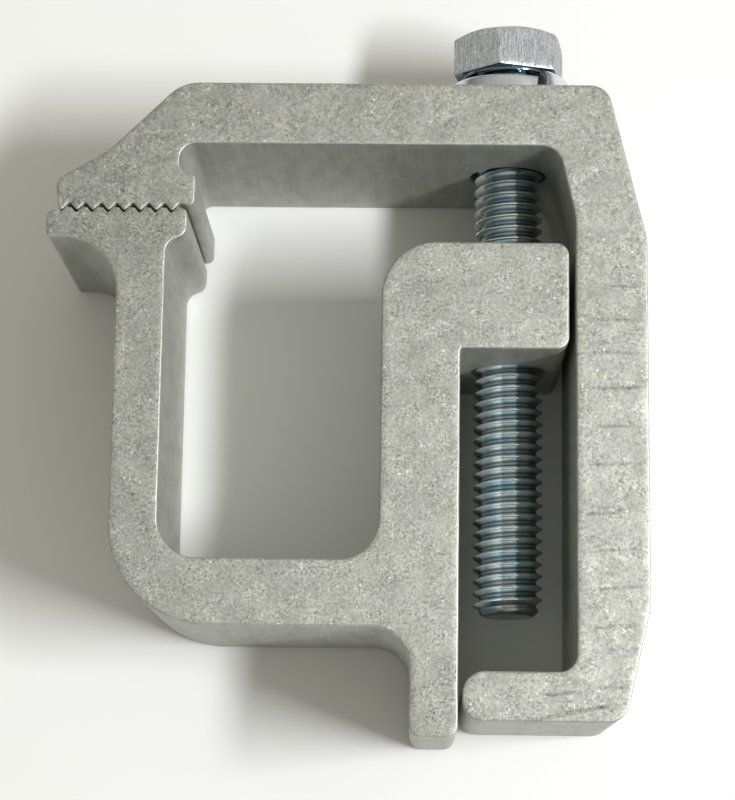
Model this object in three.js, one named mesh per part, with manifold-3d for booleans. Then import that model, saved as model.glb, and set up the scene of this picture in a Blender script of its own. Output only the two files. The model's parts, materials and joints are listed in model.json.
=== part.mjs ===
// Two-piece rail clamp: a fixed C-shaped extruded frame and a sliding extruded
// frame, each ending in a serrated jaw, drawn together by one long hex bolt.
//
// Units are millimetres, +Z up. The clamp lies on its cut side: the sections are
// extruded along Z from the cut face at z = 0, X is across the section, and +Y
// runs along the bolt towards its head. The origin is on the z = 0 cut face, on
// the bolt's line, at the middle of the top arm's thickness.
//
// In names and comments top and above mean towards +Y, left means towards -X.
// Every Y size is measured from the top arm's outer face, negative below it;
// adding FACE_Y gives its place in the frame.
import * as THREE from 'three';
import { mergeVertices } from 'three/addons/utils/BufferGeometryUtils.js';
import Module from 'manifold-3d';

const wasm = await Module();
wasm.setup();

// ------------------------------------------------------------ shared dimensions
const DEPTH = 30.5;            // length of extrusion, cut face to cut face
const AXIS_Z = DEPTH / 2;      // bolt axis height
const ARM_THICKNESS = 8.43;    // fixed frame's top arm
const FACE_Y = ARM_THICKNESS / 2;
const CUT_MARGIN = 2;          // how far a cutting tool runs past what it cuts

// ------------------------------------------------------------ materials
const metal = ({ color, roughness }) =>
  new THREE.MeshStandardMaterial({ color, roughness, metalness: 1.0 });

const materials = {
  fixedAluminium: metal({ color: 0x9a9b98, roughness: 0.55 }),
  slidingAluminium: metal({ color: 0x949592, roughness: 0.58 }),
  boltZinc: metal({ color: 0xb9c2c8, roughness: 0.28 }),
  washerZinc: metal({ color: 0xaab4ba, roughness: 0.35 }),
};

// ------------------------------------------------------------ solids and meshes
const MERGE_TOLERANCE = 1e-5;

// Welds a closed geometry and drops the triangles that collapse.
function solid(geometry) {
  geometry.deleteAttribute('normal');
  geometry.deleteAttribute('uv');
  const welded = mergeVertices(geometry, MERGE_TOLERANCE);
  const corners = welded.index.array;
  const triangles = [];
  for (let i = 0; i < corners.length; i += 3) {
    const [first, second, third] = corners.slice(i, i + 3);
    if (first !== second && second !== third && third !== first) {
      triangles.push(first, second, third);
    }
  }
  return new wasm.Manifold(new wasm.Mesh({
    numProp: 3,
    vertProperties: new Float32Array(welded.attributes.position.array),
    triVerts: new Uint32Array(triangles),
  }));
}

function solidFromTriangles(positions, triangles) {
  const geometry = new THREE.BufferGeometry();
  geometry.setAttribute('position', new THREE.Float32BufferAttribute(positions, 3));
  geometry.setIndex(triangles);
  return solid(geometry);
}

function piece(name, manifold, material) {
  const { vertProperties, triVerts } = manifold.getMesh();
  const geometry = new THREE.BufferGeometry();
  geometry.setAttribute('position', new THREE.Float32BufferAttribute(vertProperties, 3));
  geometry.setIndex(new THREE.BufferAttribute(new Uint32Array(triVerts), 1));
  geometry.computeVertexNormals();
  const mesh = new THREE.Mesh(geometry, material);
  mesh.name = name;
  return mesh;
}

// Two triangles over the quad a-b-c-d.
const quad = (a, b, c, d) => [a, b, c, a, c, d];

// ------------------------------------------------------------ extruded sections
const LARGE_RADIUS = 4;        // arcs above this radius take the finer step
const LARGE_ARC_STEP = 0.10;   // radians
const SMALL_ARC_STEP = 0.20;

// Points of the arc that rounds a corner, tangent to both its sides.
function roundedCorner(corner, previous, next, radius) {
  const toPrevious = previous.sub(corner).normalize();
  const toNext = next.sub(corner).normalize();
  const halfAngle = Math.acos(THREE.MathUtils.clamp(toPrevious.dot(toNext), -1, 1)) / 2;
  const tangentLength = radius / Math.tan(halfAngle);
  const centre = toPrevious.clone().add(toNext)
    .setLength(radius / Math.sin(halfAngle))
    .add(corner);
  const angleAlong = (direction) => {
    const tangent = direction.clone().multiplyScalar(tangentLength).add(corner);
    return Math.atan2(tangent.y - centre.y, tangent.x - centre.x);
  };
  const start = angleAlong(toPrevious);
  let sweep = angleAlong(toNext) - start;
  if (sweep > Math.PI) sweep -= 2 * Math.PI;
  if (sweep < -Math.PI) sweep += 2 * Math.PI;
  const arcStep = radius > LARGE_RADIUS ? LARGE_ARC_STEP : SMALL_ARC_STEP;
  const steps = Math.max(2, Math.ceil(Math.abs(sweep) / arcStep));
  return Array.from({ length: steps + 1 }, (_, k) => {
    const angle = start + (sweep * k) / steps;
    return new THREE.Vector2(
      centre.x + radius * Math.cos(angle),
      centre.y + radius * Math.sin(angle),
    );
  });
}

// Extrudes a closed outline of corners [x, y, radius]; no radius is a sharp corner.
function extrudedSection(corners) {
  const place = ([x, y]) => new THREE.Vector2(x, y);
  const points = corners.flatMap((entry, i) => {
    const corner = place(entry);
    const radius = entry[2];
    if (!radius) return [corner];
    const previous = place(corners.at(i - 1));
    const next = place(corners[(i + 1) % corners.length]);
    return roundedCorner(corner, previous, next, radius);
  });
  for (const point of points) point.y += FACE_Y;
  const shape = new THREE.Shape(points);
  return solid(new THREE.ExtrudeGeometry(shape, { depth: DEPTH, bevelEnabled: false }));
}

// ------------------------------------------------------------ jaw serrations
const TOOTH_COUNT = 8;
const TOOTH_PITCH = 2.09;
const FIRST_TOOTH_X = -59.45;  // first fixed-jaw crest

// Flats the teeth run between, with the jaws closed: Y and half width along X.
const FIXED_CREST = { y: -17.61, halfWidth: 0.14 };
const FIXED_VALLEY = { y: -16.76, halfWidth: 0.14 };
const SLIDING_CREST = { y: -17.33, halfWidth: 0.38 };
const SLIDING_VALLEY = { y: -17.97, halfWidth: 0.12 };
// The sliding crests stand this far off the fixed valleys.
const SLIDING_SHIFT = -0.12;

// Corners from the jaw's open end towards the bolt, alternating between two
// kinds of flat half a pitch apart.
function serration(startX, firstFlat, secondFlat) {
  const corners = [];
  for (let k = 0; k < TOOTH_COUNT; k++) {
    [firstFlat, secondFlat].forEach(({ y, halfWidth }, half) => {
      const x = startX + (k + half / 2) * TOOTH_PITCH;
      corners.push([x - halfWidth, y], [x + halfWidth, y]);
    });
  }
  return corners;
}

// ------------------------------------------------------------ bodies about the bolt axis
// Body of revolution: profile of [radius, y] from the low end to the high end,
// starting and ending on the axis.
function turned(profile, segments = 48) {
  const points = profile.map(([radius, y]) => new THREE.Vector2(radius, y + FACE_Y));
  const geometry = new THREE.LatheGeometry(points, segments);
  geometry.translate(0, 0, AXIS_Z);
  return solid(geometry);
}

// Cylinder that cuts a hole right through from bottom to top.
function holeCutter(radius, bottom, top) {
  const low = bottom - CUT_MARGIN;
  const high = top + CUT_MARGIN;
  return turned([[0, low], [radius, low], [radius, high], [0, high]]);
}

// [x, y, z] at an angle about the bolt axis, from +Z towards +X.
const aroundAxis = (radius, angle, y) =>
  [radius * Math.sin(angle), y + FACE_Y, AXIS_Z + radius * Math.cos(angle)];

// ------------------------------------------------------------ thread
const THREAD_PITCH = 25.4 / 16; // 3/8-16 UNC
const THREAD_SEGMENTS = 16;     // a turn
const THREAD_CREST_Y = -10.19;  // a bolt thread crest on the +Z side

// Rod with a right-hand helical thread that covers at least low to high, closed
// by a shallow cone at each end. Crest and root flats are given by half width.
function threadedRod({ low, high, rootRadius, crestRadius, crestHalf, rootHalf }) {
  const flank = (THREAD_PITCH - 2 * crestHalf - 2 * rootHalf) / 2;
  const profile = [ // [radius, y from the crest's middle]
    [rootRadius, -crestHalf - flank],
    [crestRadius, -crestHalf],
    [crestRadius, crestHalf],
    [rootRadius, crestHalf + flank],
  ];
  const firstTurn = Math.floor((low - THREAD_CREST_Y) / THREAD_PITCH) - 1;
  const turns = Math.ceil((high - low) / THREAD_PITCH) + 3;
  const last = turns * THREAD_SEGMENTS;
  const crestY = (turn) => THREAD_CREST_Y + THREAD_PITCH * (firstTurn + turn);

  const positions = [];
  for (let row = 0; row <= last; row++) {
    const turn = row / THREAD_SEGMENTS;
    for (const [radius, y] of profile) {
      positions.push(...aroundAxis(radius, 2 * Math.PI * turn, crestY(turn) + y));
    }
  }
  const lowTip = positions.length / 3;
  const highTip = lowTip + 1;
  const coneRise = 0.5;
  positions.push(...aroundAxis(0, 0, crestY(0) - coneRise));
  positions.push(...aroundAxis(0, 0, crestY(turns) + coneRise));

  const triangles = [];
  const id = (row, j) => row * 4 + j;
  for (let row = 0; row < last; row++) {
    for (let j = 0; j < 3; j++) {
      triangles.push(...quad(id(row, j), id(row + 1, j), id(row + 1, j + 1), id(row, j + 1)));
    }
    // The root flat joins each turn to the next one up.
    const above = row + THREAD_SEGMENTS;
    if (above < last) {
      triangles.push(...quad(id(row, 3), id(row + 1, 3), id(above + 1, 0), id(above, 0)));
    }
  }
  // Each end is a fan over one turn, plus the step where the profile starts or stops.
  const beforeLast = last - THREAD_SEGMENTS;
  for (let k = 0; k < THREAD_SEGMENTS; k++) {
    triangles.push(lowTip, id(k + 1, 0), id(k, 0));
    triangles.push(highTip, id(beforeLast + k, 3), id(beforeLast + k + 1, 3));
  }
  triangles.push(lowTip, id(0, 3), id(THREAD_SEGMENTS, 0));
  triangles.push(highTip, id(last, 0), id(beforeLast, 3));
  for (let j = 0; j < 3; j++) {
    triangles.push(lowTip, id(0, j), id(0, j + 1));
    triangles.push(highTip, id(last, j + 1), id(last, j));
  }
  return solidFromTriangles(positions, triangles);
}

// ------------------------------------------------------------ fixed frame
const COLUMN_INNER_X = 8.23;
const COLUMN_OUTER_X = 17.61;
const HOOK_END_X = -6.27;      // hook's free end
const HOOK_TOP = -77.61;
const HOOK_BOTTOM = -83.94;
const CLEARANCE_RADIUS = 5.2;  // bolt hole in the top arm

function fixedFrame() {
  const section = extrudedSection([ // [x, y, corner radius]
    // top arm's outer face and the column's outer side
    [-43.94, 0, 5.5], [12.49, 0, 2.8],
    [COLUMN_OUTER_X, -21.07, 8], [COLUMN_OUTER_X, -69.24, 8],
    // hook
    [14.3, HOOK_BOTTOM, 2.9], [HOOK_END_X, HOOK_BOTTOM, 2.6],
    [HOOK_END_X, HOOK_TOP, 2.9], [COLUMN_INNER_X, HOOK_TOP, 2.3],
    // column's inner side and the arm's underside
    [COLUMN_INNER_X, -18.2, 8], [5.97, -ARM_THICKNESS, 2.9],
    [-44.05, -ARM_THICKNESS, 2.2],
    // jaw
    [-44.05, -12.2, 1.35], [-41.83, -12.75, 0.95], [-41.83, -17.0, 0.95], [-42.9, -17.0],
    ...serration(FIRST_TOOTH_X, FIXED_CREST, FIXED_VALLEY).reverse(),
    [-59.92, -17.28], [-60.36, -13.56, 1.6], [-53.4, -9.44, 8],
  ]);
  return section.subtract(holeCutter(CLEARANCE_RADIUS, -ARM_THICKNESS, 0));
}

// ------------------------------------------------------------ sliding frame
const JAW_TIP_X = -61.4;
const JAW_INNER_X = -42.8;     // jaw's end nearer the bolt
const LEFT_OUTER_X = -51.85;   // left column
const LEFT_INNER_X = -45.53;
const MIDDLE_LEFT_X = -17.06;  // middle column's left face
const GUIDE_X = -6.80;         // middle column's right face, beside the hook's end
const BOSS_RIGHT_X = 7.35;     // beside the fixed column
const BOSS_TOP = -21.67;
const BOSS_BOTTOM = -35.88;
const WINDOW_BOTTOM = -63.60;  // floor between the left and middle columns
const OUTER_BOTTOM = -72.17;
const LEG_LEFT_X = -13.0;      // leg below the middle column
const LEG_BOTTOM = -86.03;

function slidingFrame() {
  const section = extrudedSection([ // [x, y, corner radius]
    // jaw
    [JAW_TIP_X, -17.64, 1.15], [FIRST_TOOTH_X - 0.50, -17.64],
    ...serration(FIRST_TOOTH_X + SLIDING_SHIFT, SLIDING_VALLEY, SLIDING_CREST),
    [JAW_INNER_X, -17.75, 0.95], [JAW_INNER_X, -20.95, 1.6],
    // window
    [LEFT_INNER_X, -22.0, 1.9], [LEFT_INNER_X, WINDOW_BOTTOM, 5.0],
    [MIDDLE_LEFT_X, WINDOW_BOTTOM, 5.3],
    // boss
    [MIDDLE_LEFT_X, BOSS_TOP, 7.2], [BOSS_RIGHT_X, BOSS_TOP, 1.7],
    [BOSS_RIGHT_X, BOSS_BOTTOM, 1.6], [GUIDE_X, BOSS_BOTTOM, 0.35],
    // leg
    [GUIDE_X, LEG_BOTTOM, 1.5], [LEG_LEFT_X, LEG_BOTTOM, 1.6], [LEG_LEFT_X, OUTER_BOTTOM, 5.0],
    // left column's outer side
    [LEFT_OUTER_X, OUTER_BOTTOM, 13.0], [LEFT_OUTER_X, -21.42, 7.3], [JAW_TIP_X, -21.35, 0.8],
  ]);
  // The tap is the void of the threaded hole: its root cuts the hole's crest.
  const tap = threadedRod({
    low: BOSS_BOTTOM - 1.5,
    high: BOSS_TOP + 1.5,
    rootRadius: 4.03,
    crestRadius: 4.87,
    crestHalf: 0.128,
    rootHalf: 0.181,
  });
  return section.subtract(tap);
}

// ------------------------------------------------------------ hex bolt
const BOLT_RADIUS = 4.68;      // thread crest and plain neck
const BOLT_ROOT_RADIUS = 3.80;
const BOLT_TIP = -69.2;
const NECK_BOTTOM = 0.7;       // the thread runs out below this
const HEAD_SEAT = 5.18;        // head's bearing face
const HEAD_TOP = 11.25;
const SEAT_FACE_RADIUS = 6.75; // round face under the hexagon
const SEAT_FACE_TOP = HEAD_SEAT + 0.38;
const HEX_RADIUS = 8.13;       // to the corners
const HEX_ENVELOPE_RADIUS = 8.6; // clears the corners
const HEX_TURN = -0.186;       // nearest corner's angle from +Z, towards +X

function boltHead() {
  const corners = Array.from({ length: 6 }, (_, k) => {
    const angle = HEX_TURN + (k * Math.PI) / 3;
    return new THREE.Vector2(HEX_RADIUS * Math.sin(angle), HEX_RADIUS * Math.cos(angle));
  });
  const hexagon = new THREE.ExtrudeGeometry(new THREE.Shape(corners), {
    depth: HEAD_TOP - HEAD_SEAT + 2 * CUT_MARGIN,
    bevelEnabled: false,
  });
  // The shape's y becomes Z and it extrudes towards -Y, so it starts above the head.
  hexagon.rotateX(Math.PI / 2);
  hexagon.translate(0, HEAD_TOP + FACE_Y + CUT_MARGIN, AXIS_Z);
  // Trims the hexagon to length, with the round seat face and chamfered top.
  const envelope = turned([
    [0, HEAD_SEAT], [SEAT_FACE_RADIUS, HEAD_SEAT],
    [SEAT_FACE_RADIUS, SEAT_FACE_TOP], [HEX_ENVELOPE_RADIUS, SEAT_FACE_TOP],
    [HEX_ENVELOPE_RADIUS, HEAD_TOP - 0.85], [7.7, HEAD_TOP - 0.38],
    [6.9, HEAD_TOP], [0, HEAD_TOP],
  ]);
  return solid(hexagon).intersect(envelope);
}

function boltNeck() {
  const low = NECK_BOTTOM - 0.8;
  const high = HEAD_SEAT + 0.4; // runs into the head
  return turned([
    [0, low], [3.9, low], [BOLT_RADIUS, NECK_BOTTOM], [BOLT_RADIUS, high], [0, high],
  ], THREAD_SEGMENTS * 2);
}

function boltShank() {
  const thread = threadedRod({
    low: BOLT_TIP - 1,
    high: NECK_BOTTOM + 2,
    rootRadius: BOLT_ROOT_RADIUS,
    crestRadius: BOLT_RADIUS,
    crestHalf: 0.099,
    rootHalf: 0.186,
  });
  // Trims the thread to length and chamfers the tip.
  const radius = BOLT_RADIUS + 0.1;
  const top = NECK_BOTTOM + 0.9;
  const envelope = turned([
    [0, BOLT_TIP], [3.45, BOLT_TIP], [radius, BOLT_TIP + 1.35], [radius, top], [0, top],
  ]);
  return thread.intersect(envelope);
}

const hexBolt = () => boltHead().add(boltNeck()).add(boltShank());

// ------------------------------------------------------------ flat washer
const FLAT = { outerRadius: 10.3, innerRadius: 5.15, bottom: 0.03, top: 1.58 };

function flatWasher() {
  const { outerRadius, innerRadius, bottom, top } = FLAT;
  const disc = turned([
    [0, bottom], [outerRadius - 0.15, bottom], [outerRadius, bottom + 0.2],
    [outerRadius, top - 0.25], [outerRadius - 0.25, top], [0, top],
  ], 64);
  return disc.subtract(holeCutter(innerRadius, bottom, top));
}

// ------------------------------------------------------------ lock washer
const LOCK = {
  outerRadius: 8.3,
  innerRadius: 4.95,
  thickness: 2.35,             // at the bore
  bottom: 1.64,                // underside of the low end
  rise: 1.12,                  // low end to high end
  startAngle: 0.40,            // low end, from +Z towards +X
  sweep: 6.08,                 // from the split, the long way round
  segments: 56,
};

// Split spring washer: one left-hand coil of bar, thicker at the bore.
function lockWasher() {
  const { outerRadius, innerRadius, thickness, segments } = LOCK;
  const section = [ // [radius, height above the coil's own underside]
    [innerRadius, 0], [innerRadius, thickness],
    [outerRadius - 0.25, thickness - 0.10], [outerRadius, thickness - 0.35],
    [outerRadius, 0.35], [outerRadius - 0.25, 0.10],
  ];
  const count = section.length;
  const positions = [];
  for (let k = 0; k <= segments; k++) {
    const angle = LOCK.startAngle - (LOCK.sweep * k) / segments;
    const underside = LOCK.bottom + (LOCK.rise * k) / segments;
    for (const [radius, height] of section) {
      positions.push(...aroundAxis(radius, angle, underside + height));
    }
  }
  const triangles = [];
  for (let k = 0; k < segments; k++) {
    const near = k * count;
    const far = near + count;
    for (let j = 0; j < count; j++) {
      const next = (j + 1) % count;
      triangles.push(...quad(near + j, far + j, far + next, near + next));
    }
  }
  const end = segments * count;
  for (let j = 1; j < count - 1; j++) {
    triangles.push(0, j, j + 1);
    triangles.push(end, end + j + 1, end + j);
  }
  return solidFromTriangles(positions, triangles);
}

// ------------------------------------------------------------ assembly
const clamp = new THREE.Group();
clamp.name = 'rail_clamp';
clamp.add(
  piece('fixed_frame', fixedFrame(), materials.fixedAluminium),
  piece('sliding_frame', slidingFrame(), materials.slidingAluminium),
  piece('hex_bolt', hexBolt(), materials.boltZinc),
  piece('lock_washer', lockWasher(), materials.washerZinc),
  piece('flat_washer', flatWasher(), materials.washerZinc),
);

export default clamp;
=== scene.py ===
"""Rail clamp: two saw-cut aluminium sections drawn together by a zinc-plated hex bolt, on a pale
tabletop.

The bolt's axis runs along Y with its head at +Y. The sections are extruded along Z: their back
cut faces lie at Z = 0 by the tabletop and their front ones face up, towards +Z and the camera.
Builders work in millimetres and meshes are written in metres. Angles round the bolt run from +Z
towards +X. The sections' outlines are read from the CAD nodes.
"""
import bmesh
import bpy
import json
import math
import random
from types import SimpleNamespace as Group

import numpy as np
from mathutils import Matrix, Vector
from mathutils.geometry import delaunay_2d_cdt


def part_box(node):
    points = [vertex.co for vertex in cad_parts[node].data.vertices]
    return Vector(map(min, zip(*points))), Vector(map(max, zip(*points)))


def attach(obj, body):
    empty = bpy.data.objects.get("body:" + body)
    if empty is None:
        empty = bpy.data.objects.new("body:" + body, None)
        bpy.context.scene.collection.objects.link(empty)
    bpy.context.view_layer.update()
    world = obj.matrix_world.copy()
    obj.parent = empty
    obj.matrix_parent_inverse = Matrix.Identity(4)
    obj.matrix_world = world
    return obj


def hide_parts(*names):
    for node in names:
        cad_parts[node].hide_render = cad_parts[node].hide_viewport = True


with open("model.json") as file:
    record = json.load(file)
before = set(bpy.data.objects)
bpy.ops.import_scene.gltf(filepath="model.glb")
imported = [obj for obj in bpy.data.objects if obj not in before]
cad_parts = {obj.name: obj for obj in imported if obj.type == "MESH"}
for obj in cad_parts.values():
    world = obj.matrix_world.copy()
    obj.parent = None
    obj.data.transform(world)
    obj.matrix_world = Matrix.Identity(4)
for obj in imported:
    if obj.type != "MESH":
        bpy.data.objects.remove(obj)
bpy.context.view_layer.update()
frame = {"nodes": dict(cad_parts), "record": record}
behaviour = frame["record"]["behaviour"]
bolt_joint = {joint["name"]: joint for joint in behaviour["joints"]}["bolt_turn"]

MM = 0.001
X, Y, Z = range(3)
AXIS_X, _, AXIS_Z = [c / MM for c in bolt_joint["pos_m"]]
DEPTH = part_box("fixed_frame")[1][Z] / MM        # length of the extrusions
ARM_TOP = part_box("fixed_frame")[1][Y] / MM      # the top arm's outer face
ARM_LOW = ARM_TOP - 8.43                        # and its inner face
BOSS_TOP = ARM_TOP - 21.67                      # the threaded boss of the sliding section
BOSS_LOW = ARM_TOP - 35.88
HEAD_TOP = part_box("hex_bolt")[1][Y] / MM
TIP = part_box("hex_bolt")[0][Y] / MM
SEAT = ARM_TOP + 5.18                           # the head's bearing face
HEX_R = 8.13                                    # bolt axis to a corner of the head
HEX_TURN = -0.186                               # angle of the corner nearest +Z
TIP_R = 3.42                                    # thread radius where it meets the tip
SHANK_R = 4.66                                  # plain shank under the head
PITCH = 2 * math.pi / behaviour["couplings"][0]["ratio"] / MM
CREST_Y = ARM_TOP - 10.19                       # a thread crest on the bolt's +Z side

# one pitch of each thread: distance along the axis from the crest or groove centre, radius
BOLT_THREAD = [(-0.66, 3.805), (-0.56, 3.885), (-0.15, 4.60), (-0.06, 4.672),
               (0.06, 4.672), (0.15, 4.60), (0.56, 3.885), (0.66, 3.805)]
TAP_R = 4.03
TAP_THREAD = [(-0.605, TAP_R), (-0.17, 4.79), (-0.09, 4.86),
              (0.09, 4.86), (0.17, 4.79), (0.605, TAP_R)]

CORNER_R = 0.24                                 # rounding of the sections' outline corners
RIM_R = 0.23                                    # nominal rounding between wall and cut face
TOOTH_RIM_R = 0.16                              # its limit on narrow features
RIM_ANGLES = [math.radians(a) for a in (90, 67.5, 45, 22.5, 0)]
WALL_STEPS = 12
# cut face meshing: point spacing, their scatter, their clearance from the outline
FACE_GRID = Group(step=0.75, scatter=0.08, margin=0.42)


# ------------------------------------------------------------------ outlines
def cad_outline(node):
    """The closed outline of an extruded node's back cut face, anticlockwise, in mm."""
    mesh = frame["nodes"][node].data
    corners = np.array([tuple(v.co) for v in mesh.vertices]) / MM
    unique, index = np.unique(np.round(corners, 3), axis=0, return_inverse=True)
    index = index.reshape(-1)
    mesh.calc_loop_triangles()
    edges = {}
    for triangle in mesh.loop_triangles:
        ids = [int(index[i]) for i in triangle.vertices]
        if all(abs(unique[i][Z]) < 0.002 for i in ids) and len(set(ids)) == 3:
            for a, b in zip(ids, ids[1:] + ids[:1]):
                edges[(a, b)] = True
    # an edge used in one direction only is on the border
    following = {a: b for a, b in edges if (b, a) not in edges}
    start = min(following)
    loop, current = [start], following[start]
    while current != start:
        loop.append(current)
        current = following[current]
    points = unique[loop][:, :2]
    x, y = points[:, 0], points[:, 1]
    if (x * np.roll(y, -1) - y * np.roll(x, -1)).sum() < 0:
        points = points[::-1]
    return points


def measure(points):
    """The turn at each point, and the length and direction of the edge that leaves it."""
    along = np.roll(points, -1, 0) - points
    length = np.linalg.norm(along, axis=1)
    along = along / length[:, None]
    before = np.roll(along, 1, 0)
    turn = np.arctan2(before[:, 0] * along[:, 1] - before[:, 1] * along[:, 0],
                      (before * along).sum(1))
    return turn, length, along


def clean(points):
    """Drops repeated and collinear points."""
    while True:
        turn, length, _ = measure(points)
        keep = (np.abs(turn) > math.radians(0.4)) & (np.roll(length, 1) > 1e-3)
        if keep.all():
            return points
        points = points[keep]


def soften(points, radius):
    """Rounds corners turning more than 18 degrees, by up to radius."""
    turn, length, along = measure(points)
    out = []
    for i, corner in enumerate(points):
        if abs(turn[i]) < math.radians(18):
            out.append(corner)
            continue
        reach = min(radius * math.tan(abs(turn[i]) / 2), 0.42 * min(length[i - 1], length[i]))
        start, end = corner - along[i - 1] * reach, corner + along[i] * reach
        for s in (0.0, 0.25, 0.5, 0.75, 1.0):   # a quadratic curve through the tangents
            out.append((1 - s) ** 2 * start + 2 * s * (1 - s) * corner + s * s * end)
    return np.array(out)


def refine(points, step):
    """Turns the facets of arcs into smooth curves and splits long straights."""
    _, length, along = measure(points)
    tangent = np.zeros_like(points)
    for i in range(len(points)):
        before, after = length[i - 1], length[i]
        if before > 2.2 * after:
            way = along[i - 1]
        elif after > 2.2 * before:
            way = along[i]
        else:
            way = along[i - 1] * after + along[i] * before
        tangent[i] = way / np.linalg.norm(way)
    out = []
    for i in range(len(points)):
        j = (i + 1) % len(points)
        bend = max(math.acos(np.clip(tangent[k] @ along[i], -1, 1)) for k in (i, j))
        pieces = max(1, math.ceil(length[i] / step))
        if bend > math.radians(1.2):
            pieces = max(pieces, math.ceil(2 * bend / math.radians(6)))
        for s in np.arange(pieces) / pieces:    # a cubic Hermite curve
            out.append((2 * s**3 - 3 * s**2 + 1) * points[i]
                       + (s**3 - 2 * s**2 + s) * length[i] * tangent[i]
                       + (3 * s**2 - 2 * s**3) * points[j]
                       + (s**3 - s**2) * length[i] * tangent[j])
    return np.array(out)


def wave(position, total, seed, low, high, terms, top):
    """Smooth closed random curve between low and high; top bounds its waves per lap."""
    rng = np.random.default_rng(seed)
    y = np.zeros_like(position)
    for _ in range(terms):
        k = rng.integers(2, top)
        y += rng.normal() * np.sin(2 * math.pi * (k * position / total + rng.random())) / k**0.35
    y = (y - y.min()) / max(1e-9, y.max() - y.min())
    return low + (high - low) * y


def inside(points, outline):
    """True for each point within the outline, by counting crossings."""
    x, y = points[:, 0][:, None], points[:, 1][:, None]
    x0, y0 = outline[:, 0][None], outline[:, 1][None]
    x1, y1 = np.roll(outline[:, 0], -1)[None], np.roll(outline[:, 1], -1)[None]
    rise = np.where(y1 == y0, 1e-9, y1 - y0)
    crossed = ((y0 > y) != (y1 > y)) & (x < (x1 - x0) * (y - y0) / rise + x0)
    return crossed.sum(1) % 2 == 1


# ------------------------------------------------------------------ mesh helpers
def make(name, verts, faces, material=None, sharp=None):
    """A smooth-shaded object from mm vertices; edges over sharp degrees stay sharp."""
    mesh = bpy.data.meshes.new(name)
    mesh.from_pydata([tuple(v) for v in np.asarray(verts) * MM], [], faces)
    mesh.validate(clean_customdata=False)
    mesh.update()
    mesh.polygons.foreach_set("use_smooth", [True] * len(mesh.polygons))
    if sharp:
        mesh.set_sharp_from_angle(angle=math.radians(sharp))
    ob = bpy.data.objects.new(name, mesh)
    bpy.context.scene.collection.objects.link(ob)
    if material:
        mesh.materials.append(material)
    return ob


def quads(rows, size, around=True, closed=True):
    """Quads between neighbouring rows of size vertices.

    around joins the last row to the first, closed joins each row's end to its start.
    """
    out = []
    for i in range(rows if around else rows - 1):
        here, beside = i * size, (i + 1) % rows * size
        for j in range(size if closed else size - 1):
            k = (j + 1) % size
            out.append((here + j, here + k, beside + k, beside + j))
    return out


def flipped(faces):
    return [(a, d, c, b) for a, b, c, d in faces]


def at(radius, turn, y):
    """The point at a radius and angle round the bolt's axis."""
    return (AXIS_X + radius * math.sin(turn), y, AXIS_Z + radius * math.cos(turn))


def spin(profile, segments):
    """The vertices of a profile of (radius, y) turned about the bolt's axis."""
    return [at(r, 2 * math.pi * i / segments, y) for i in range(segments) for r, y in profile]


def cut(ob, verts, faces):
    """Cuts a closed solid out of ob."""
    solid = make("tool", verts, faces)
    bm = bmesh.new()
    bm.from_mesh(solid.data)
    bmesh.ops.recalc_face_normals(bm, faces=bm.faces)
    bm.to_mesh(solid.data)
    bm.free()
    modifier = ob.modifiers.new("cut", "BOOLEAN")
    modifier.operation, modifier.solver, modifier.object = "DIFFERENCE", "EXACT", solid
    bpy.context.view_layer.update()
    graph = bpy.context.evaluated_depsgraph_get()
    mesh = bpy.data.meshes.new_from_object(ob.evaluated_get(graph))
    ob.modifiers.clear()
    old = ob.data
    ob.data = mesh
    bpy.data.meshes.remove(old)
    bpy.data.objects.remove(solid)
    mesh.name = ob.name
    mesh.set_sharp_from_angle(angle=math.radians(35))


# ------------------------------------------------------------------ the aluminium sections
def rim_radii(points, miter, seed):
    """The uneven rounding of one cut face's rim, at each outline point."""
    turn, length, along = measure(points)
    position = np.concatenate([[0], np.cumsum(length)[:-1]])
    total = length.sum()
    # narrow features, such as the serrations, keep a finer rim
    tooth = np.zeros(len(points), bool)
    for i in range(len(points)):
        offset = (position - position[i] + total / 2) % total - total / 2
        tooth[i] = np.abs(turn[np.abs(offset) < 0.7]).sum() > math.radians(75)
    radii = wave(position, total, seed, RIM_R * 0.75, RIM_R * 1.45, terms=9, top=70)
    radii = np.where(tooth, np.minimum(radii, TOOTH_RIM_R), radii)
    radii = (np.roll(radii, 1) + 2 * radii + np.roll(radii, -1)) / 4
    # no edge of the inset outline may turn back on itself
    for _ in range(80):
        inset = points - miter * radii[:, None]
        bad = ((np.roll(inset, -1, 0) - inset) * along).sum(1) < 0.15 * length
        if not bad.any():
            break
        radii = np.where(bad | np.roll(bad, 1), radii * 0.86, radii)
    return radii


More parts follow.
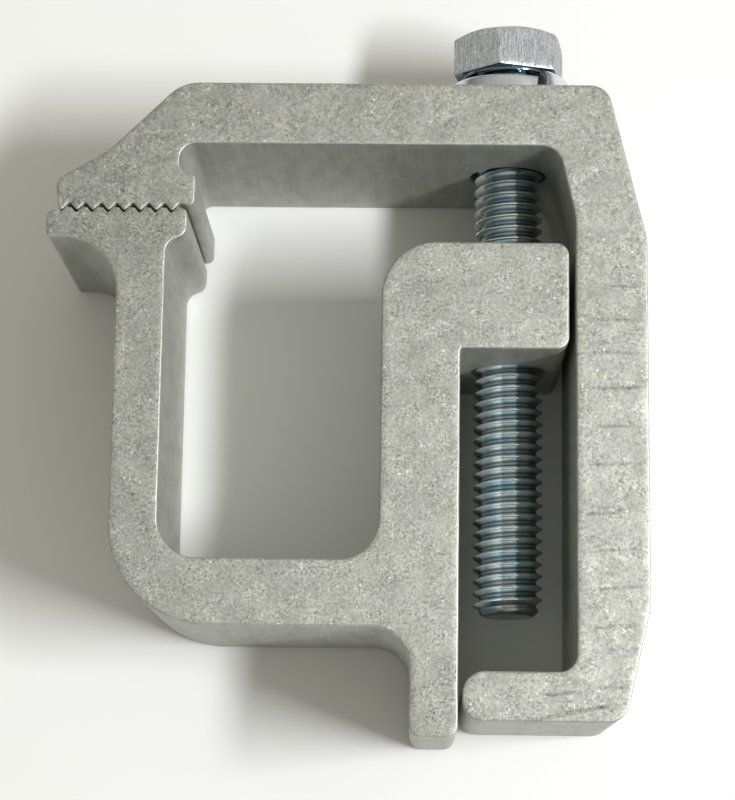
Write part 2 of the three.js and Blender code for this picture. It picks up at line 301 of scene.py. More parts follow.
def fill_cut_face(outline, base, front, seed, rng, verts, faces):
    """Meshes a cut face inside the ring of vertices that starts at base, with slight waves."""
    count, step = len(outline), FACE_GRID.step
    xs = np.arange(outline[:, 0].min(), outline[:, 0].max(), step)
    ys = np.arange(outline[:, 1].min(), outline[:, 1].max(), step * 0.866)
    points = np.array([(x + (step / 2 if k % 2 else 0), y) for k, y in enumerate(ys) for x in xs])
    points = points + rng.normal(0, FACE_GRID.scatter, points.shape)
    points = points[inside(points, outline)]
    gap = np.sqrt(((points[:, None, :] - outline[None]) ** 2).sum(2)).min(1)
    points, gap = points[gap > FACE_GRID.margin], gap[gap > FACE_GRID.margin]
    sources = [Vector(q) for q in outline] + [Vector(q) for q in points]
    flat, _, triangles, origins, _, _ = delaunay_2d_cdt(sources, [], [list(range(count))], 1, 1e-7)
    index = []
    for point, origin in zip(flat, origins):
        if origin and origin[0] < count:
            index.append(base + origin[0])
            continue
        x, y = point.x, point.y
        # the waves fade out towards the rim
        swell = 0.0 if not origin else min(1.0, (gap[origin[0] - count] - 0.4) / 1.2)
        dz = swell * (0.010 * math.sin(x * 0.9 + y * 0.55 + seed)
                      + 0.008 * math.sin(y * 1.7 - x * 0.6) + 0.006 * rng.normal() - 0.012)
        index.append(len(verts))
        verts.append((x, y, DEPTH + dz if front else -dz))
    for triangle in triangles:
        ids = [index[i] for i in triangle]
        a, b, c = (np.array(verts[i][:2]) for i in ids[:3])
        anticlockwise = (b - a)[0] * (c - a)[1] - (b - a)[1] * (c - a)[0] > 0
        if anticlockwise != front:
            ids = ids[::-1]
        faces.append(tuple(ids))


def section(name, node, material, seed):
    """A saw-cut length of extrusion: straight walls, rounded rims and finely meshed cut faces."""
    points = refine(soften(clean(cad_outline(node)), radius=CORNER_R), step=0.9)
    _, _, along = measure(points)
    normal = np.stack([along[:, 1], -along[:, 0]], 1)   # outward of the anticlockwise outline
    before = np.roll(normal, 1, 0)
    miter = (normal + before) / (1 + (normal * before).sum(1))[:, None]

    def rim(front):
        """Rings from the cut face, where the outline is inset, to the wall."""
        radii = rim_radii(points, miter, seed + front)
        rings = []
        for angle in RIM_ANGLES:
            inset = radii * (1 - math.cos(angle))
            z = radii * (1 - math.sin(angle))
            z = DEPTH - z if front else z
            rings.append(np.column_stack([points - miter * inset[:, None], z]))
        return rings

    front_rim, back_rim = rim(True), rim(False)
    high, low = front_rim[-1], back_rim[-1]
    wall = [high + (low - high) * (k / WALL_STEPS) for k in range(1, WALL_STEPS)]
    rows = front_rim + wall + back_rim[::-1]
    verts = [v for row in rows for v in row]
    faces = flipped(quads(len(rows), len(points), around=False))
    rng = np.random.default_rng(seed + 7)
    back_base = (len(rows) - 1) * len(points)
    fill_cut_face(rows[0][:, :2], 0, True, seed, rng, verts, faces)
    fill_cut_face(rows[-1][:, :2], back_base, False, seed, rng, verts, faces)
    return make(name, verts, faces, material, sharp=40)


def cut_lathed(ob, profile):
    """Cuts out a solid of revolution given by (radius, y) stations from one end to the other."""
    segments, size = 96, len(profile)
    faces = quads(segments, size, closed=False)
    faces.append(tuple(i * size for i in range(segments)))
    faces.append(tuple(i * size + size - 1 for i in range(segments))[::-1])
    cut(ob, spin(profile, segments), faces)


# ------------------------------------------------------------------ threads and bolt
def thread(turns, y_span, profile, end_radii, limit):
    """A helical thread between two planes, its ends left open.

    limit(y, radius) shapes the radius. Returns vertices, faces and the low and high end rings.
    """
    verts, faces, columns = [], [], []
    rings = ([], [])
    first = math.floor((y_span[0] - CREST_Y) / PITCH) - 2
    last = math.ceil((y_span[1] - CREST_Y) / PITCH) + 2
    stations = [(c * PITCH + rise, r) for c in range(first, last + 1) for rise, r in profile]
    for turn in turns:
        ends, column = [None, None], []
        for rise, radius in stations:
            y = CREST_Y + PITCH * turn / (2 * math.pi) + rise
            if y_span[0] + 0.02 < y < y_span[1] - 0.02:
                column.append(len(verts))
                verts.append(at(limit(y, radius), turn, y))
                continue
            # stations beyond a plane share one vertex on it
            end = 0 if y <= y_span[0] + 0.02 else 1
            if ends[end] is None:
                ends[end] = len(verts)
                verts.append(at(end_radii[end], turn, y_span[end]))
            column.append(ends[end])
        columns.append(column)
        for ring, end in zip(rings, ends):
            ring.append(end)
    for i, here in enumerate(columns):
        beside = columns[(i + 1) % len(columns)]
        # past the seam the neighbouring vertex is one pitch further along
        shift = len(profile) if i == len(columns) - 1 else 0
        for j in range(len(stations) - 1 - shift):
            face = []
            for k in (here[j], beside[j + shift], beside[j + 1 + shift], here[j + 1]):
                if not face or face[-1] != k:
                    face.append(k)
            if len(face) > 1 and face[0] == face[-1]:
                face.pop()
            if len(face) >= 3:
                faces.append(tuple(face))
    return verts, faces, rings[0], rings[1]


def extend_rings(turns, ring, rows, cap_y, verts):
    """Faces from a ring through rows of (radius, y) to a centre point at cap_y."""
    faces, count = [], len(turns)
    for row in rows:
        new = range(len(verts), len(verts) + count)
        verts += [at(r, turn, y) for turn, (r, y) in zip(turns, row)]
        for i in range(count):
            j = (i + 1) % count
            faces.append((ring[i], ring[j], new[j], new[i]))
        ring = new
    centre = len(verts)
    verts.append(at(0, 0, cap_y))
    return faces + [(ring[i], ring[(i + 1) % count], centre) for i in range(count)]


def bolt_turns():
    """Angles every 6 degrees from the hexagon's first corner, with more beside each corner."""
    angles = [HEX_TURN + math.radians(6 * k) for k in range(60)]
    for corner in range(6):
        for offset in (0.9, -0.9, 2.0, -2.0):
            angles.append(HEX_TURN + math.radians(60 * corner + offset))
    return sorted({round(((a - HEX_TURN) % (2 * math.pi)) + HEX_TURN, 6) for a in angles})


def hex_radius(turn):
    """The head's radius at an angle, with a small rolled radius on each upright corner."""
    past = (turn - HEX_TURN) % (math.pi / 3)
    off_corner = min(past, math.pi / 3 - past)
    radius = HEX_R * math.cos(math.radians(30)) / math.cos(math.radians(30) - off_corner)
    if off_corner < math.radians(3):
        return min(radius, HEX_R - 0.10 + 0.02 * math.cos(off_corner * 30))
    return radius


def head_rows(turns):
    """Rows of (radius, y) from the shank out over the washer face, up the hexagon and in."""
    def circles(stations):
        return [[station] * len(turns) for station in stations]

    def top(radius):
        """The chamfered top's height."""
        return HEAD_TOP - max(0.0, radius - 6.9) * 0.5

    radii = [hex_radius(turn) for turn in turns]
    halfway = [6.92 + (r - 6.92) * 0.5 for r in radii]
    under = SEAT + 0.38                     # the hexagon's underside
    rows = circles([(4.72, SEAT - 0.12), (4.95, SEAT), (6.58, SEAT), (6.71, SEAT + 0.04),
                    (6.75, SEAT + 0.13), (6.75, under - 0.06), (6.79, under - 0.015),
                    (6.86, under)])
    rows += [[(max(6.9, r - 0.22), under) for r in radii],
             [(r - 0.07, under + 0.05) for r in radii]]
    for share in (0.0, 0.2, 0.4, 0.6, 0.8, 1.0):
        rows.append([(r, (under + 0.2) * (1 - share) + (top(r) - 0.16) * share) for r in radii])
    rows += [[(r - 0.04, top(r) - 0.02) for r in radii],
             [(r, top(r) + 0.01) for r in halfway]]
    return rows + circles([(6.86, HEAD_TOP - 0.02), (6.6, HEAD_TOP), (5.2, HEAD_TOP - 0.015),
                           (3.0, HEAD_TOP - 0.03), (1.2, HEAD_TOP - 0.03)])


def build_bolt(name, material):
    turns = bolt_turns()
    neck = ARM_TOP + 0.7
    runout = 1.3

    def limit(y, radius):
        """The thread fades into the shank at the neck and tapers at the tip."""
        if y > neck - runout:
            s = min(1.0, (y - neck + runout) / runout)
            radius = radius + (SHANK_R - radius) * s * s * (3 - 2 * s)
        return min(radius, TIP_R + 0.95 * (y - TIP))

    verts, faces, low, high = thread(turns, (TIP + 0.03, SEAT - 0.30), BOLT_THREAD,
                                     (TIP_R, SHANK_R), limit)
    # the tip has a small rolled lip and a slightly hollow face
    tip_rows = [[station] * len(turns)
                for station in ((3.30, TIP), (2.9, TIP + 0.03), (1.5, TIP + 0.12))]
    tip = extend_rings(turns, low, tip_rows, TIP + 0.14, verts)
    faces += [face[::-1] for face in tip]
    faces += extend_rings(turns, high, head_rows(turns), HEAD_TOP - 0.03, verts)
    return make(name, verts, faces, material, sharp=30)


def cut_tapped_hole(ob, y_low, y_high):
    turns = [2 * math.pi * k / 64 for k in range(64)]
    verts, faces, low, high = thread(turns, (y_low, y_high), TAP_THREAD, (TAP_R, TAP_R),
                                     lambda y, radius: radius)
    low_centre, high_centre = len(verts), len(verts) + 1
    verts += [at(0, 0, y_low - 0.4), at(0, 0, y_high + 0.4)]
    for i in range(len(turns)):
        j = (i + 1) % len(turns)
        faces.append((low[j], low[i], low_centre))
        faces.append((high[i], high[j], high_centre))
    cut(ob, verts, faces)


# ------------------------------------------------------------------ washers
def washer_box(node):
    """A washer's outer radius, low Y and high Y."""
    low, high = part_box(node)
    return (high[X] - low[X]) / MM / 2, low[Y] / MM, high[Y] / MM


def build_coil(name, material):
    """The split spring washer: one left-hand coil of trapezoid bar with sheared ends."""
    outer, base, top = washer_box("lock_washer")
    inner, thick, chamfer = 4.95, 2.35, 0.16
    rise = top - base - thick
    start, sweep, steps = 0.40, 6.08, 120
    # the bar's lower half, from bore to rim: radius, height
    lower = [(inner, chamfer), (inner + 0.05, 0.05), (inner + chamfer, 0),
             ((inner + outer) / 2, 0.03), (outer - 0.30, 0.09), (outer - 0.12, 0.14),
             (outer - 0.03, 0.25), (outer, 0.42)]
    bar = lower[:1] + [(r, thick - y) for r, y in lower] + lower[:0:-1]
    verts, size = [], len(bar)
    for step in range(steps + 1):
        share = step / steps
        for r, y in bar:
            turn = start - sweep * share
            if step in (0, steps):      # the ends are sheared on a slant across the bar
                turn += 0.10 * (r - inner) / (outer - inner) - 0.05 + 0.05 * (y / thick - 0.5)
            verts.append(at(r, turn, base + rise * share + y))
    faces = [(b, c, d, a) for a, b, c, d in quads(steps + 1, size, around=False)]
    faces.append(tuple(range(size)))
    faces.append(tuple(steps * size + j for j in range(size))[::-1])
    return make(name, verts, faces, material, sharp=35)


def build_plain_washer(name, material):
    outer, low, high = washer_box("flat_washer")
    profile = [(5.15, low + 0.12), (5.25, low + 0.02), (5.4, low), (outer - 0.25, low),
               (outer - 0.06, low + 0.06), (outer, low + 0.22), (outer, high - 0.40),
               (outer - 0.08, high - 0.20), (outer - 0.28, high - 0.04), (outer - 0.55, high),
               (5.55, high), (5.3, high - 0.05), (5.18, high - 0.16), (5.15, high - 0.35)]
    segments = 128
    faces = flipped(quads(segments, len(profile)))
    return make(name, spin(profile, segments), faces, material, sharp=40)


# ------------------------------------------------------------------ shader trees
FALL = (1.0, 0.0)


class Value:
    """An output socket; arithmetic and comparisons on it add Math nodes."""

    def __init__(self, tree, socket):
        self.tree, self.socket = tree, socket

    def __add__(self, other):
        return self.tree.math("ADD", self, other)

    def __radd__(self, other):
        return self.tree.math("ADD", other, self)

    def __sub__(self, other):
        return self.tree.math("SUBTRACT", self, other)

    def __rsub__(self, other):
        return self.tree.math("SUBTRACT", other, self)

    def __mul__(self, other):
        return self.tree.math("MULTIPLY", self, other)

    def __lt__(self, other):
        return self.tree.math("LESS_THAN", self, other)

    def __gt__(self, other):
        return self.tree.math("GREATER_THAN", self, other)

    def __abs__(self):
        return self.tree.math("ABSOLUTE", self)


class Tree:
    """Short calls for building a node tree; each returns a Value."""

    def __init__(self, node_tree):
        self.node_tree = node_tree
        self.coordinates = self.node("TexCoord", {})

    def feed(self, node, inputs):
        """Links or sets a node's inputs."""
        for key, value in inputs.items():
            if isinstance(value, Value):
                self.node_tree.links.new(value.socket, node.inputs[key])
            else:
                node.inputs[key].default_value = value

    def node(self, kind, inputs, **settings):
        node = self.node_tree.nodes.new("ShaderNode" + kind)
        for key, value in settings.items():
            setattr(node, key, value)
        self.feed(node, inputs)
        return node

    def value(self, kind, inputs, output=0, **settings):
        return Value(self, self.node(kind, inputs, **settings).outputs[output])

    def coordinate(self, output):
        return Value(self, self.coordinates.outputs[output])

    def math(self, operation, a, b=0.0, clamp=False):
        return self.value("Math", {0: a, 1: b}, operation=operation, use_clamp=clamp)

    def mapped(self, scale=(1, 1, 1), turn=0.0, loc=(0, 0, 0)):
        """Object coordinates in millimetres, turned about Z, then scaled and moved."""
        turned = self.value("Mapping", {"Rotation": (0, 0, turn), "Scale": (1000, 1000, 1000),
                                        "Vector": self.coordinate("Object")})
        return self.value("Mapping", {"Location": loc, "Scale": scale, "Vector": turned})

    def noise(self, vector, scale=1.0, detail=2.0, rough=0.5, distortion=0.0):
        return self.value("TexNoise", {"Scale": scale, "Detail": detail, "Roughness": rough,
                                       "Distortion": distortion, "Vector": vector})

    def dots(self, vector, over, share, smooth=False):
        """Dots in a random share of cells, fading over a range of distances."""
        cell = self.node("TexVoronoi", {"Scale": 1.0, "Vector": vector})
        chance = self.value("SeparateColor", {0: Value(self, cell.outputs["Color"])})
        distance = Value(self, cell.outputs["Distance"])
        return self.span(distance, over=over, to=FALL, smooth=smooth) * (chance < share)

    def span(self, value, over, to=(0.0, 1.0), smooth=False):
        """Maps one range onto another."""
        return self.value("MapRange", {"From Min": over[0], "From Max": over[1],
                                       "To Min": to[0], "To Max": to[1], "Value": value},
                          interpolation_type="SMOOTHSTEP" if smooth else "LINEAR")

    def mix(self, factor, a, b, mode="MIX"):
        """Mixes two colours."""
        a, b = ((*c, 1.0) if isinstance(c, tuple) else c for c in (a, b))
        return self.value("Mix", {0: factor, 6: a, 7: b}, output=2,
                          data_type="RGBA", blend_type=mode, clamp_factor=True)

    def mix_values(self, factor, a, b):
        return self.value("Mix", {0: factor, 2: a, 3: b}, data_type="FLOAT")

    def bump(self, height, strength, distance):
        return self.value("Bump", {"Strength": strength, "Distance": distance * MM,
                                   "Height": height})

    def edge(self, radius, over):
        """1 on convex and concave edges, 0 on flats; over is a range of normal agreement."""
        bevel = self.value("Bevel", {"Radius": radius * MM}, samples=6)
        normal = self.value("NewGeometry", {}, output="Normal")
        agree = self.value("VectorMath", {0: bevel, 1: normal}, output="Value",
                           operation="DOT_PRODUCT")
        return self.span(agree, over=over, smooth=True)

    def split(self, vector):
        node = self.node("SeparateXYZ", {0: vector})
        return [Value(self, output) for output in node.outputs]

    def axis(self, vector, index):
        return self.split(vector)[index]


class Surface(Tree):
    """A material with one Principled shader."""

    def __init__(self, name):
        self.material = bpy.data.materials.new(name)
        self.material.use_nodes = True
        node_tree = self.material.node_tree
        node_tree.nodes.clear()
        output = node_tree.nodes.new("ShaderNodeOutputMaterial")
        self.shader = node_tree.nodes.new("ShaderNodeBsdfPrincipled")
        node_tree.links.new(self.shader.outputs[0], output.inputs[0])
        super().__init__(node_tree)

    def finish(self, inputs):
        self.feed(self.shader, inputs)
        return self.material


def swing(value, by):
    """Centres a 0 to 1 value on 0 and scales it."""
    return (value - 0.5) * by


def random_place(seed):
    rng = random.Random(seed)
    return rng.uniform(0, 50), rng.uniform(0, 50), rng.uniform(0, 50)


# ------------------------------------------------------------------ aluminium
ALU_TONES = ((0.468, 0.478, 0.424), (0.460, 0.467, 0.440))
# how far each pattern moves the brightness of the cut faces and of the walls
CUT = Group(base=1.0, blotch=0.50, grain=1.45, fine=1.0, coarse=0.40,
            speck=0.72, scratch=0.44, pit=0.18)
WALL = Group(base=0.92, line=0.40, blotch=0.60, grain=0.50)
WORN = Group(tone=0.16, rough=0.10)         # brighter and smoother on the edges
SCRATCH_SMOOTHING = 0.10
# how far each pattern raises the surface
RELIEF = Group(grain=0.7, fine=0.25, pit=0.25, wall_line=0.45, wall_grain=0.18)

# saw marks on the fixed section's front face: x and y of both ends, y from the top arm's outer
# face, then width and strength
SAW = [(12.0, -27.35, 17.6, -27.72, 0.30, 0.17), (9.4, -31.88, 17.5, -32.05, 0.30, 0.13),
       (8.8, -36.35, 17.5, -36.45, 0.32, 0.15), (8.8, -41.10, 17.6, -40.87, 0.36, 0.15),
       (9.8, -46.05, 17.4, -45.95, 0.32, 0.13), (9.2, -51.10, 15.5, -50.95, 0.34, 0.18),
       (8.9, -57.55, 13.5, -57.30, 0.34, 0.18), (9.4, -62.30, 17.4, -61.80, 0.34, 0.18),
       (10.5, -67.10, 17.4, -66.80, 0.34, 0.18), (9.8, -72.10, 16.6, -71.55, 0.38, 0.18),
       (9.6, -79.80, 15.2, -79.35, 0.40, 0.14), (5.0, -83.20, 13.6, -81.55, 0.46, 0.20),
       (3.4, -80.70, 9.2, -80.05, 0.40, 0.14), (0.8, -83.90, 8.6, -82.70, 0.40, 0.14)]
SAW_GAIN = 1.9
SCORE = (-49.9, -7.16, -41.0, -6.40, 0.16, 0.30)    # one bright line, in the same columns


def streaks(tree, seed, directions, across, along, share, turn=0.0):
    """Sparse short straight scratches: long thin cells in several directions."""
    rng = random.Random(seed)
    total = None
    for k in range(directions):
        angle = turn + math.pi * (k + rng.uniform(-0.35, 0.35)) / directions
        cells = tree.mapped(scale=(1.0 / across, 1.0 / along, 0.2), turn=angle,
                            loc=(rng.uniform(0, 99), rng.uniform(0, 99), 0))
        one = tree.dots(cells, over=(0.15, 0.30), share=share)
        total = one if total is None else tree.math("MAXIMUM", total, one)
    return total


def stroke(tree, x0, y0, x1, y1, width, drift):
    """A straight mark between two points, soft at its ends; drift bends it a little.

    y0 and y1 are measured from the top arm's outer face.
    """
    y0, y1 = y0 + ARM_TOP, y1 + ARM_TOP
    length, angle = math.hypot(x1 - x0, y1 - y0), math.atan2(y1 - y0, x1 - x0)
    c, s = math.cos(-angle), math.sin(-angle)
    local = tree.mapped(turn=-angle, loc=(-(c * x0 - s * y0), -(s * x0 + c * y0), 0))
    across = tree.span(abs(tree.axis(local, Y) + drift), over=(width * 0.25, width), to=FALL,
                       smooth=True)
    fade = tree.span(abs(tree.axis(local, X) - length / 2),
                     over=(length * 0.22, length / 2 + 0.4), to=FALL, smooth=True)
    return across * fade


def saw_marks(tree, tone):
    """Darkens the front cut face along the saw's drag marks and adds the bright line."""
    total = None
    drift = swing(tree.noise(tree.mapped(), scale=0.9), by=0.36)
    for *ends, width, strength in SAW:
        one = stroke(tree, *ends, width, drift) * (strength * SAW_GAIN)
        total = one if total is None else tree.math("MAXIMUM", total, one)
    broken = tree.span(tree.noise(tree.mapped(), scale=1.5), over=(0.36, 0.52), to=(0.50, 1.0))
    front = broken * (tree.axis(tree.mapped(), Z) > DEPTH / 2)
    tone = tone - total * front
    *ends, width, strength = SCORE
    return tone + stroke(tree, *ends, width, drift) * front * strength


def aluminium(name, seed, painted_falloff_shade, saw=False):
    """Tumbled mill aluminium: granular cut faces with bright specks, drawn lines on the walls."""
    tree = Surface(name)
    off = random_place(seed)
    normal = tree.axis(tree.coordinate("Normal"), Z)
    cut_face = tree.span(abs(normal), over=(0.80, 0.97), smooth=True)
    here = tree.mapped(loc=off)

    blotch = tree.noise(here, scale=0.22, detail=3.0, rough=0.55)
    hue = tree.noise(tree.mapped(loc=(off[1], off[2], off[0])), scale=0.34, detail=3.0, rough=0.55)
    hue = tree.span(hue, over=(0.44, 0.60), smooth=True)
    grain = tree.noise(here, scale=2.6, detail=3.0, rough=0.62, distortion=0.25)
    fine = tree.noise(here, scale=6.0, rough=0.6)
    specks = tree.dots(tree.mapped(scale=(1.05, 1.05, 1.05), loc=off),
                       over=(0.09, 0.20), share=0.26)
    pits = tree.dots(tree.mapped(scale=(0.8, 0.8, 0.8), loc=(off[2], off[0], off[1])),
                     over=(0.12, 0.28), share=0.30, smooth=True)
    scratches = tree.math(
        "MAXIMUM",
        streaks(tree, seed, directions=5, across=0.30, along=1.8, share=0.06),
        streaks(tree, seed + 40, directions=3, across=0.26, along=0.9, share=0.09, turn=0.3))

    # drawn lines on the extruded walls run the length of the section
    lines = tree.noise(tree.mapped(scale=(5.5, 5.5, 0.05), loc=off), detail=4.0, rough=0.65)
    wall_blotch = tree.noise(tree.mapped(scale=(0.5, 0.5, 0.16), loc=off), detail=3.0, rough=0.6)

    # grain is stronger in some patches than in others
    patchy = tree.noise(tree.mapped(loc=(off[2], off[1], off[0])), scale=0.38)
    patchy = tree.span(patchy, over=(0.36, 0.64), to=(0.55, 1.35))
    coarse = tree.noise(here, scale=1.05)
    speckle = swing(grain, CUT.grain) + swing(fine, CUT.fine) + swing(coarse, CUT.coarse)
    cut_tone = speckle * patchy + (swing(blotch, CUT.blotch) + CUT.base)
    cut_tone = cut_tone + specks * patchy * CUT.speck
    cut_tone = cut_tone + scratches * patchy * CUT.scratch
    cut_tone = cut_tone - pits * CUT.pit
    if saw:
        cut_tone = saw_marks(tree, cut_tone)
    # painted shade: the jaw at -X and the foot at -Y of each section are darkened a little, where
    # the light falls off
    here_x, here_y = tree.axis(tree.mapped(), X), tree.axis(tree.mapped(), Y)
    jaw = (tree.span(here_x, over=(-46.0, -39.0), to=(painted_falloff_shade, 0.0), smooth=True)
           * tree.span(here_y, over=(ARM_TOP - 30.0, ARM_TOP - 21.0), smooth=True))
    foot = tree.span(here_y, over=(ARM_TOP - 80.0, ARM_TOP - 70.0), to=(painted_falloff_shade, 0.0), smooth=True)
    cut_tone = cut_tone - (jaw + foot)
    wall_tone = (swing(lines, WALL.line) + swing(wall_blotch, WALL.blotch)
                 + (swing(grain, WALL.grain) + WALL.base))

    tone = tree.mix_values(cut_face, wall_tone, cut_tone)
    worn_patches = tree.noise(tree.mapped(), scale=0.9, detail=3.0)
    worn = tree.edge(radius=0.30, over=(0.995, 0.90)) * tree.span(worn_patches, over=(0.34, 0.62))
    tone = tone + worn * WORN.tone
    colour = tree.mix(hue, *ALU_TONES)
    # half the tone picks a grey from 0 to 2, which multiplies the colour
    shade = tree.mix(tree.math("MULTIPLY", tone, 0.5, clamp=True), (0.0, 0.0, 0.0), (2.0, 2.0, 2.0))

    cut_rough = tree.span(grain, over=(0.3, 0.7), to=(0.48, 0.58))
    rough = tree.mix_values(cut_face, 0.56, cut_rough)
    rough = rough - worn * WORN.rough - scratches * SCRATCH_SMOOTHING
    cut_height = grain * RELIEF.grain + fine * RELIEF.fine - pits * RELIEF.pit
    wall_height = lines * RELIEF.wall_line + grain * RELIEF.wall_grain
    height = tree.mix_values(cut_face, wall_height, cut_height)
    return tree.finish({"Base Color": tree.mix(1.0, colour, shade, "MULTIPLY"),
                        "Metallic": tree.mix_values(cut_face, 0.48, 1.0),
                        "Roughness": rough,
                        "Normal": tree.bump(height, strength=0.55, distance=0.030)})


# ------------------------------------------------------------------ zinc
BLUE_CAST = (0.62, 0.82, 0.95)              # the plate's tone is multiplied by this in patches
# the first colour is painted shade for the thread roots; the crest colour is a painted highlight on
# the thread crests
PLATE = Group(grime=(0.10, 0.12, 0.13), grain=(0.42, 0.45, 0.46), crest=(0.97, 0.93, 0.86),
              crest_share=0.8, grain_rough=0.16, root_rough=0.12,
              line_relief=0.30, grain_relief=0.22)
# the scuffed hexagon: tones, roughness, pattern swings, worn edges, painted shade on the +X side,
# relief, and painted shade under the head
HEAD = Group(dark=(0.40, 0.41, 0.42), light=(0.94, 0.95, 0.96), rough=0.82,
             fine=2.5, flecks=1.9, mottling=0.9,
             worn=(0.86, 0.87, 0.87), worn_share=0.55, worn_gloss=0.34, dim=(0.69, 0.69, 0.69),
             fine_relief=1.2, fleck_relief=0.7,
             under=(0.06, 0.09, 0.12), under_share=0.75)


def scuff_head(tree, off, y, radius, base, rough, height):
    """Scuffs the hexagon along the bolt, grey and matt with bright edges; paints shade on its
    facets facing +X and under it.
    """
    hexagon = tree.span(y, over=(SEAT + 0.42, SEAT + 0.55))
    fine = tree.noise(tree.mapped(scale=(5.5, 0.42, 5.5), loc=off), detail=4.0, rough=0.75)
    flecks = tree.noise(tree.mapped(scale=(4.2, 2.2, 4.2), loc=off), detail=3.0, rough=0.7)
    mottled = swing(fine, HEAD.fine) + swing(flecks, HEAD.flecks)
    mottled = tree.math("ADD", 0.5, mottled * HEAD.mottling, clamp=True)
    grey = tree.mix(mottled, HEAD.dark, HEAD.light)
    low_edge = tree.span(y, over=(SEAT + 0.55, SEAT + 1.15), to=FALL, smooth=True)
    worn = tree.math("MAXIMUM", tree.edge(radius=0.22, over=(0.99, 0.86)),
                     low_edge * tree.span(flecks, over=(0.40, 0.60)))
    grey = tree.mix(worn * HEAD.worn_share, grey, HEAD.worn)
    # painted shade: facets facing +X, towards the key light, are darkened to tone down their
    # reflection of it
    key_facing_side = tree.span(tree.axis(tree.coordinate("Normal"), X), over=(-0.25, 0.25))
    grey = tree.mix(key_facing_side, grey, tree.mix(1.0, grey, HEAD.dim, "MULTIPLY"))
    base = tree.mix(hexagon, base, grey)
    rough = tree.mix_values(hexagon, rough, HEAD.rough - worn * HEAD.worn_gloss)
    scuffs = fine * HEAD.fine_relief + flecks * HEAD.fleck_relief
    height = tree.mix_values(hexagon, height, scuffs)
    # painted shade: the head's bearing face and the hexagon's underside are darkened, in the gap
    # over the washers
    under = (tree.span(y, over=(SEAT - 0.4, SEAT - 0.2))
             * tree.span(y, over=(SEAT + 0.40, SEAT + 0.48), to=FALL)
             * tree.span(radius, over=(4.8, 5.2)))
    return tree.mix(under * HEAD.under_share, base, HEAD.under), rough, height


def zinc(name, tone, seed, patches, grime, gloss, head=False):
    """Bright zinc plate with blue patches, painted shade in the thread roots and painted highlights
    on the thread crests; gloss is its roughness.
    """
    tree = Surface(name)
    off = random_place(seed)
    place = tree.mapped()
    from_axis = tree.value("CombineXYZ", {0: tree.axis(place, X) - AXIS_X,
                                          2: tree.axis(place, Z) - AXIS_Z})
    radius = tree.value("VectorMath", {0: from_axis}, output="Value", operation="LENGTH")
    y = tree.axis(place, Y)
    root = (tree.span(radius, over=(3.85, 4.45), to=FALL, smooth=True)
            * tree.span(y, over=(ARM_TOP + 1.0, ARM_TOP + 2.0), to=FALL))

    patch = tree.noise(tree.mapped(loc=off), scale=0.5, detail=3.0, rough=0.6)
    grain = tree.noise(tree.mapped(loc=off), scale=4.0, detail=4.0, rough=0.7)
    lines = tree.noise(tree.mapped(scale=(4.2, 0.10, 4.2), loc=off), detail=4.0, rough=0.65)
    blue = tree.span(patch, over=(0.40, 0.62), smooth=True) * patches
    base = tree.mix(blue, tone, tuple(c * cast for c, cast in zip(tone, BLUE_CAST)))
    # painted shade: the thread roots are darkened
    base = tree.mix(root * grime, base, PLATE.grime)
    base = tree.mix(tree.span(grain, over=(0.35, 0.75), to=(0.0, 0.30)), base, PLATE.grain)
    # painted highlight: a bright line along the thread crests
    crest = (tree.span(radius, over=(4.60, 4.70))
             * tree.span(y, over=(ARM_TOP + 0.5, ARM_TOP + 1.0), to=FALL))
    base = tree.mix(crest * PLATE.crest_share, base, PLATE.crest)
    rough = gloss + swing(grain, PLATE.grain_rough) + root * PLATE.root_rough
    height = lines * PLATE.line_relief + grain * PLATE.grain_relief
    if head:
        base, rough, height = scuff_head(tree, off, y, radius, base, rough, height)
    return tree.finish({"Base Color": base, "Metallic": 1.0, "Roughness": rough,
                        "Normal": tree.bump(height, strength=0.6, distance=0.028)})


# the third number darkens each section's jaw and foot, as painted shade where the light falls off
fixed_finish = aluminium("fixed_aluminium_finish", seed=11, painted_falloff_shade=0.06, saw=True)
sliding_finish = aluminium("sliding_aluminium_finish", seed=29, painted_falloff_shade=0.13)
bolt_finish = zinc("zinc_plate_finish", tone=(0.90, 0.96, 0.99), seed=5, patches=1.0,
                   grime=0.70, gloss=0.13, head=True)
washer_finish = zinc("washer_zinc_finish", tone=(0.79, 0.80, 0.83), seed=8, patches=0.35,
                     grime=0.2, gloss=0.22)

# ------------------------------------------------------------------ the pieces
# the top arm has a plain hole with flared ends
fixed = section("fixed_section", "fixed_frame", fixed_finish, seed=3)
cut_lathed(fixed, [(5.75, ARM_LOW - 0.5), (5.2, ARM_LOW + 0.22),
                   (5.2, ARM_TOP - 0.3), (5.75, ARM_TOP + 0.5)])

# the boss is tapped and countersunk at both ends
sliding = section("sliding_section", "sliding_frame", sliding_finish, seed=17)
cut_tapped_hole(sliding, BOSS_LOW - 1.0, BOSS_TOP + 1.0)
cut_lathed(sliding, [(3.6, BOSS_TOP - 0.51), (4.6, BOSS_TOP - 0.5), (5.6, BOSS_TOP + 0.5)])
cut_lathed(sliding, [(5.6, BOSS_LOW - 0.5), (4.6, BOSS_LOW + 0.5), (3.6, BOSS_LOW + 0.51)])

bolt = build_bolt("bolt_body", bolt_finish)
coil = build_coil("spring_washer", washer_finish)
plain = build_plain_washer("plain_washer", washer_finish)

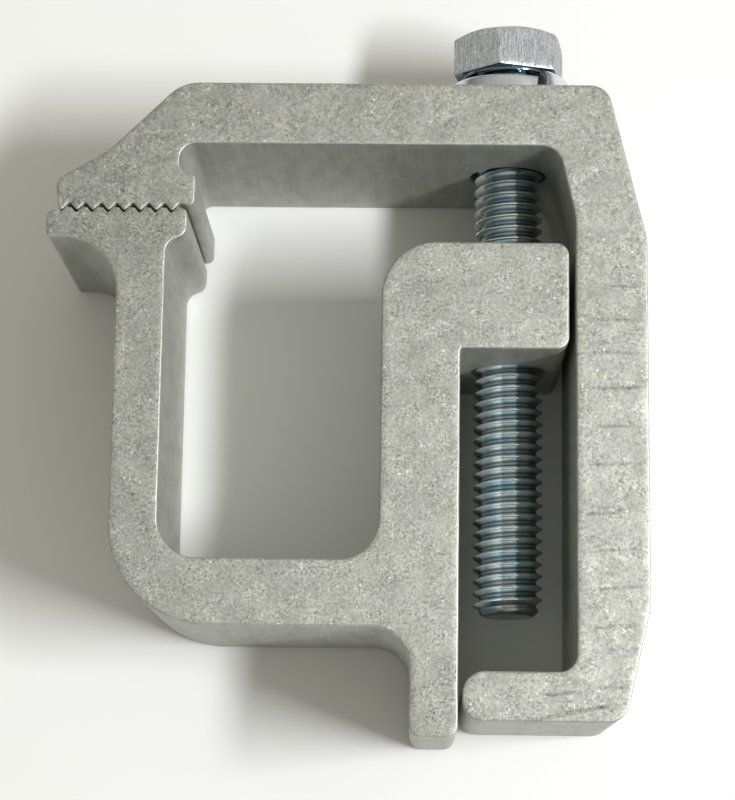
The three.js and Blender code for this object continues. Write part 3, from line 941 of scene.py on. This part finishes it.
# object, CAD node it replaces, body it rides on, material slot
for ob, node, body, slot in (
        (fixed, "fixed_frame", "fixed_frame", "fixed_aluminium"),
        (sliding, "sliding_frame", "sliding_jaw", "sliding_aluminium"),
        (bolt, "hex_bolt", "bolt", "zinc_plated_steel"),
        (coil, "lock_washer", "lock_washer", "washer_steel"),
        (plain, "flat_washer", "flat_washer", "washer_steel")):
    bm = bmesh.new()
    bm.from_mesh(ob.data)
    bmesh.ops.remove_doubles(bm, verts=bm.verts, dist=1e-7)
    bmesh.ops.recalc_face_normals(bm, faces=bm.faces)
    bm.to_mesh(ob.data)
    bm.free()
    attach(ob, body)
    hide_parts(node)


# ------------------------------------------------------------------ table, light and camera
def add_tabletop(half, z):
    """A square sheet just under the clamp; sizes in metres."""
    tree = Surface("tabletop")
    tint = tree.noise(tree.mapped(), scale=0.012, detail=3.0)
    fine = tree.noise(tree.mapped(), scale=1.6, detail=3.0, rough=0.6)
    material = tree.finish({"Base Color": tree.mix(tint, (0.80, 0.805, 0.78), (0.86, 0.865, 0.845)),
                            "Roughness": 0.55,
                            "Specular IOR Level": 0.35,
                            "Normal": tree.bump(fine, strength=0.15, distance=0.02)})
    mesh = bpy.data.meshes.new("tabletop")
    corners = [(-half, -half, z), (half, -half, z), (half, half, z), (-half, half, z)]
    mesh.from_pydata(corners, [], [(0, 1, 2, 3)])
    mesh.materials.append(material)
    table = bpy.data.objects.new("tabletop", mesh)
    bpy.context.scene.collection.objects.link(table)


def add_room():
    """A pale room: bright overhead and towards +Y, darker at the horizon and towards -X."""
    world = bpy.data.worlds.new("studio")
    bpy.context.scene.world = world
    world.use_nodes = True
    tree = Tree(world.node_tree)
    x, y, z = tree.split(tree.coordinate("Generated"))
    light = (tree.span(z, over=(-0.05, 0.85), to=(0.18, 0.55), smooth=True)
             * tree.span(x, over=(-0.9, 0.6), to=(0.75, 1.0), smooth=True)
             * tree.span(y, over=(-0.40, 0.50), to=(0.90, 1.20), smooth=True))
    tree.feed(world.node_tree.nodes["Background"], {0: (0.985, 0.98, 0.875, 1), 1: light})


def add_window(place, target, size, size_y, power, color):
    """A rectangular light aimed at target; lengths in metres."""
    light = bpy.data.lights.new("window_key", "AREA")
    light.shape = "RECTANGLE"
    light.size, light.size_y = size, size_y
    light.energy, light.color = power, color
    ob = bpy.data.objects.new("window_key", light)
    bpy.context.scene.collection.objects.link(ob)
    ob.location = place
    ob.rotation_euler = (Vector(target) - Vector(place)).to_track_quat("-Z", "Y").to_euler()


def add_camera(place, lens, turns):
    """A camera looking down; turns are the world-to-camera angles about Z, Y and X."""
    data = bpy.data.cameras.new("camera")
    data.sensor_fit, data.sensor_height, data.sensor_width = "VERTICAL", 36.0, 36.0
    data.lens = lens
    data.clip_start, data.clip_end = 0.01, 10.0
    camera = bpy.data.objects.new("camera", data)
    bpy.context.scene.collection.objects.link(camera)
    about_z, about_y, about_x = (Matrix.Rotation(a, 3, axis) for a, axis in zip(turns, "ZYX"))
    to_camera = about_z @ about_y @ about_x
    camera.matrix_world = Matrix.Translation(place) @ to_camera.transposed().to_4x4()
    bpy.context.scene.camera = camera


add_tabletop(half=1.6, z=-0.00025)
add_room()
add_window(place=(0.445, -0.13, 0.60), target=(-0.02, -0.035, 0.0), size=0.27, size_y=0.08,
           power=5.6, color=(1.0, 1.0, 1.03))
add_camera(place=(-0.012244, (-102.180 + ARM_TOP) * MM, 0.32648), lens=105.129,
           turns=(-0.0099, -0.0215, -0.1976))
view = bpy.context.scene.view_settings
view.view_transform = "Standard"
view.look = "None"
view.exposure = 0.0
